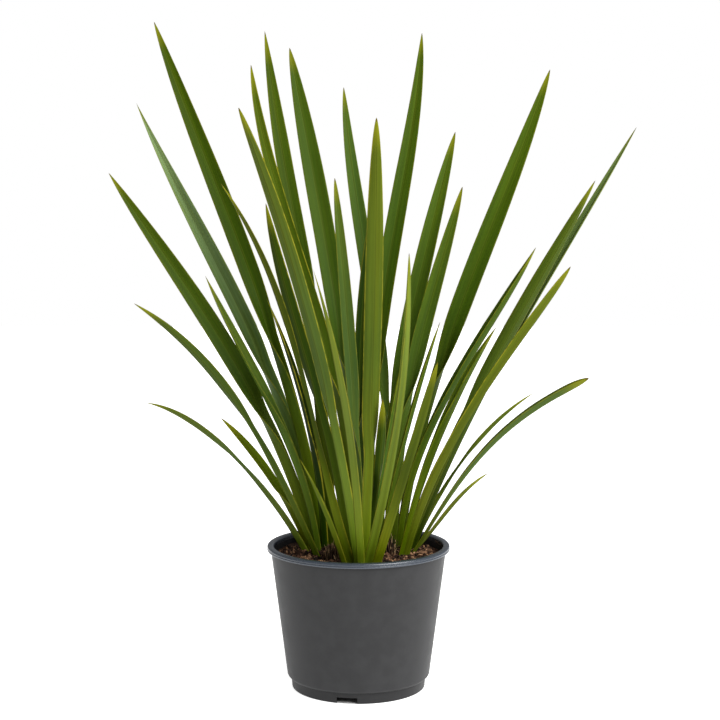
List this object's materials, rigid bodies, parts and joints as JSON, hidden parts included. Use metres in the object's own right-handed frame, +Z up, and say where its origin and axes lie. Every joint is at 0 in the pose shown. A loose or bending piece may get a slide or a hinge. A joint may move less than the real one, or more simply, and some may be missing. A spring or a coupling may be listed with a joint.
{
  "type": "potted dwarf new zealand flax",
  "caption": "Dwarf New Zealand flax, a fan-shaped clump of upright sword-shaped leaves, growing in potting mix in a round tapered nursery pot with a rolled rim and a notched foot.",
  "frame": {"origin": "centre of the pot's resting plane, which is also midway across the plant's width and depth", "axes": "+Z up along the pot's axis, +X to the plant's right as the picture shows it, +Y to the back"},
  "size_m": [0.632, 0.46, 0.818],
  "materials": {
    "pot_plastic": "satin charcoal grey",
    "potting_mix": "matt, damp brown bark and fibre",
    "dried_leaf": "matt, fibrous brown",
    "leaf_deep": "satin dark green",
    "leaf_mid": "satin green",
    "leaf_fresh": "satin light green",
    "leaf_pale": "satin yellowish green",
    "leaf_olive": "satin olive green",
    "leaf_sage": "satin greyish green"
  },
  "bodies": {
    "root": {"pot": "pot_plastic", "potting_mix": "potting_mix", "dried_leaf_bases_left": "dried_leaf", "dried_leaf_bases_right": "dried_leaf", "leaf_left_1": "leaf_mid", "leaf_left_2": "leaf_fresh", "leaf_left_3": "leaf_deep", "leaf_left_4": "leaf_fresh", "leaf_left_5": "leaf_deep", "leaf_left_6": "leaf_olive", "leaf_left_7": "leaf_deep", "leaf_left_8": "leaf_sage", "leaf_front_1": "leaf_fresh", "leaf_front_2": "leaf_fresh", "leaf_front_3": "leaf_fresh", "leaf_front_4": "leaf_pale", "leaf_front_5": "leaf_fresh", "leaf_front_6": "leaf_pale", "leaf_front_7": "leaf_mid", "leaf_front_8": "leaf_olive", "leaf_front_9": "leaf_mid", "leaf_back_1": "leaf_deep", "leaf_back_2": "leaf_mid", "leaf_back_3": "leaf_mid", "leaf_back_4": "leaf_mid", "leaf_back_5": "leaf_fresh", "leaf_back_6": "leaf_deep", "leaf_back_7": "leaf_mid", "leaf_back_8": "leaf_deep", "leaf_back_9": "leaf_mid", "leaf_back_10": "leaf_mid", "leaf_right_1": "leaf_mid", "leaf_right_2": "leaf_olive", "leaf_right_3": "leaf_olive", "leaf_right_4": "leaf_mid", "leaf_right_5": "leaf_mid", "leaf_right_6": "leaf_sage", "leaf_right_7": "leaf_deep", "leaf_right_8": "leaf_mid", "leaf_right_9": "leaf_mid", "leaf_right_10": "leaf_olive"}
  },
  "joints": []
}
